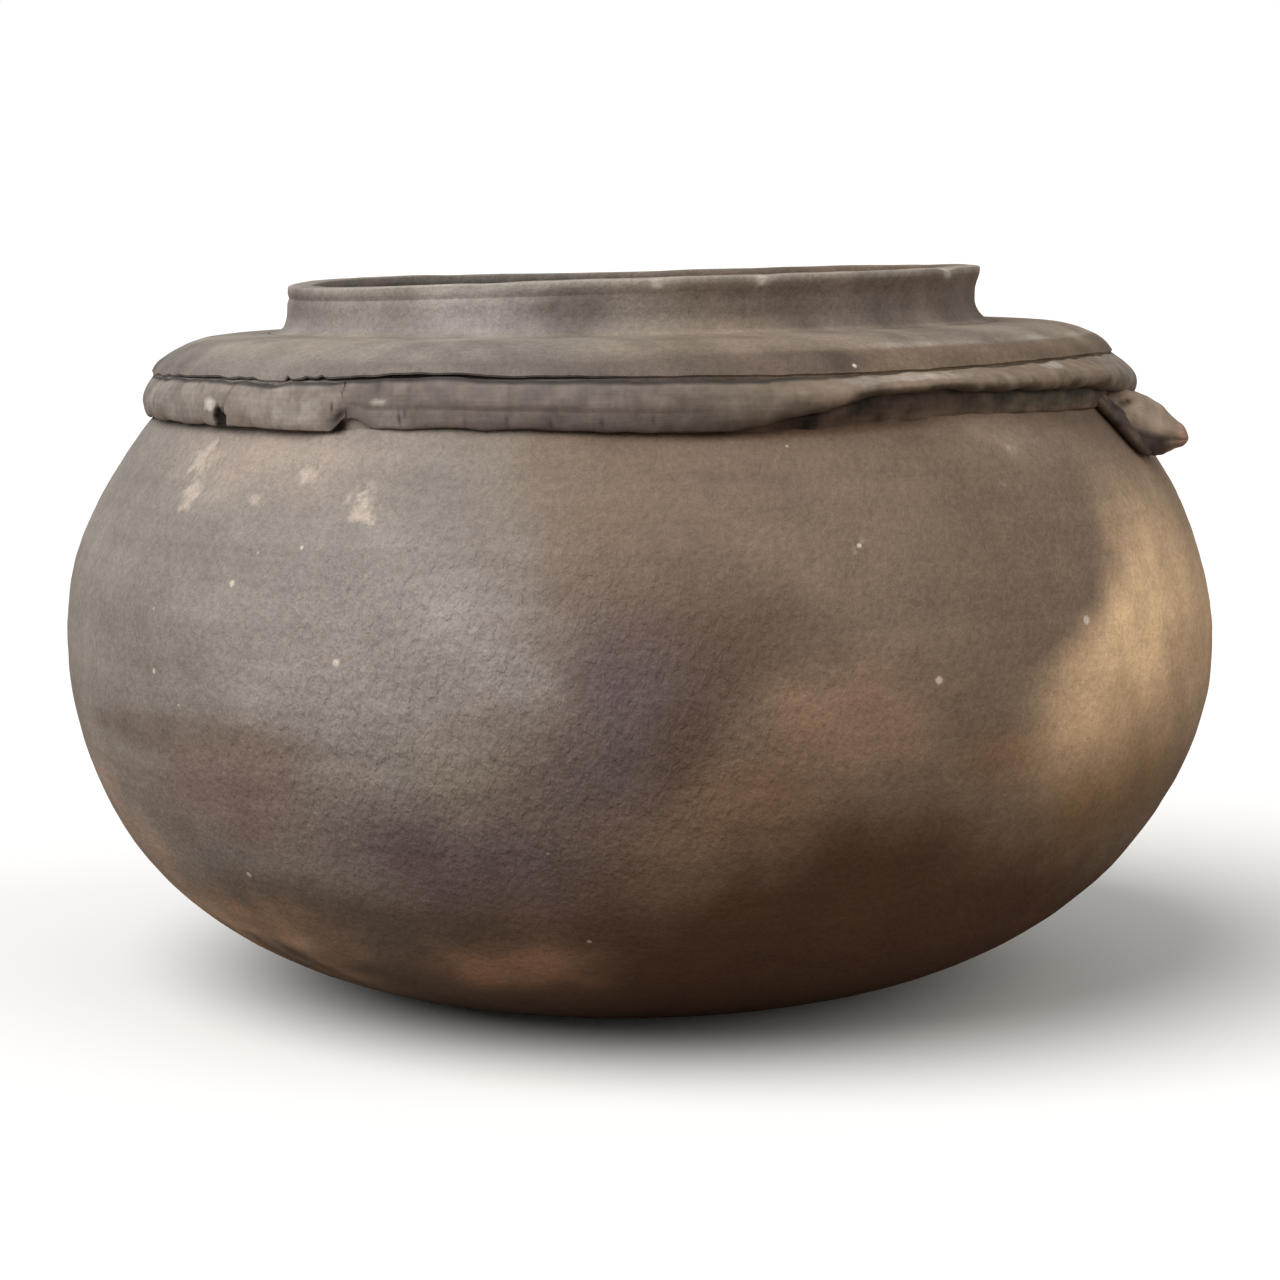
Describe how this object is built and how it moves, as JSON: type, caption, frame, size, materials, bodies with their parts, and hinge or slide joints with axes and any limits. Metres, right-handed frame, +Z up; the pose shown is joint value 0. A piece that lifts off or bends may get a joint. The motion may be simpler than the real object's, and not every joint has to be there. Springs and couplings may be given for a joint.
{
  "type": "pottery vase",
  "caption": "Wide round-bellied earthenware pot with a short upright neck, a flat shoulder ledge and a hide strap bound under the ledge, to hold grain or liquid.",
  "frame": {"origin": "on the surface the pot stands on, under the middle of the belly", "axes": "+Z up through the mouth, -Y towards the viewer of the picture, +X to that viewer's right, where the stub tail is"},
  "size_m": [0.34, 0.34, 0.2133],
  "materials": {
    "sooty_clay": "unglazed low-fired earthenware, soot-darkened, matt",
    "dusty_clay": "unglazed low-fired earthenware with fire clouds, burnished but dusty",
    "dusty_hide": "old stiff hide, dusty, with cracks across its width",
    "dark_hide": "old hide, dark",
    "brown_hide": "old hide, rubbed brown"
  },
  "bodies": {
    "root": {"base_bowl": "sooty_clay", "belly_wall": "dusty_clay", "shoulder_ledge": "dusty_clay", "neck_collar": "dusty_clay", "rim_lip": "dusty_clay", "strap_band": "dusty_hide", "under_strip": "dark_hide", "hitch_turn": "brown_hide", "stub_tail": "brown_hide"}
  },
  "joints": []
}
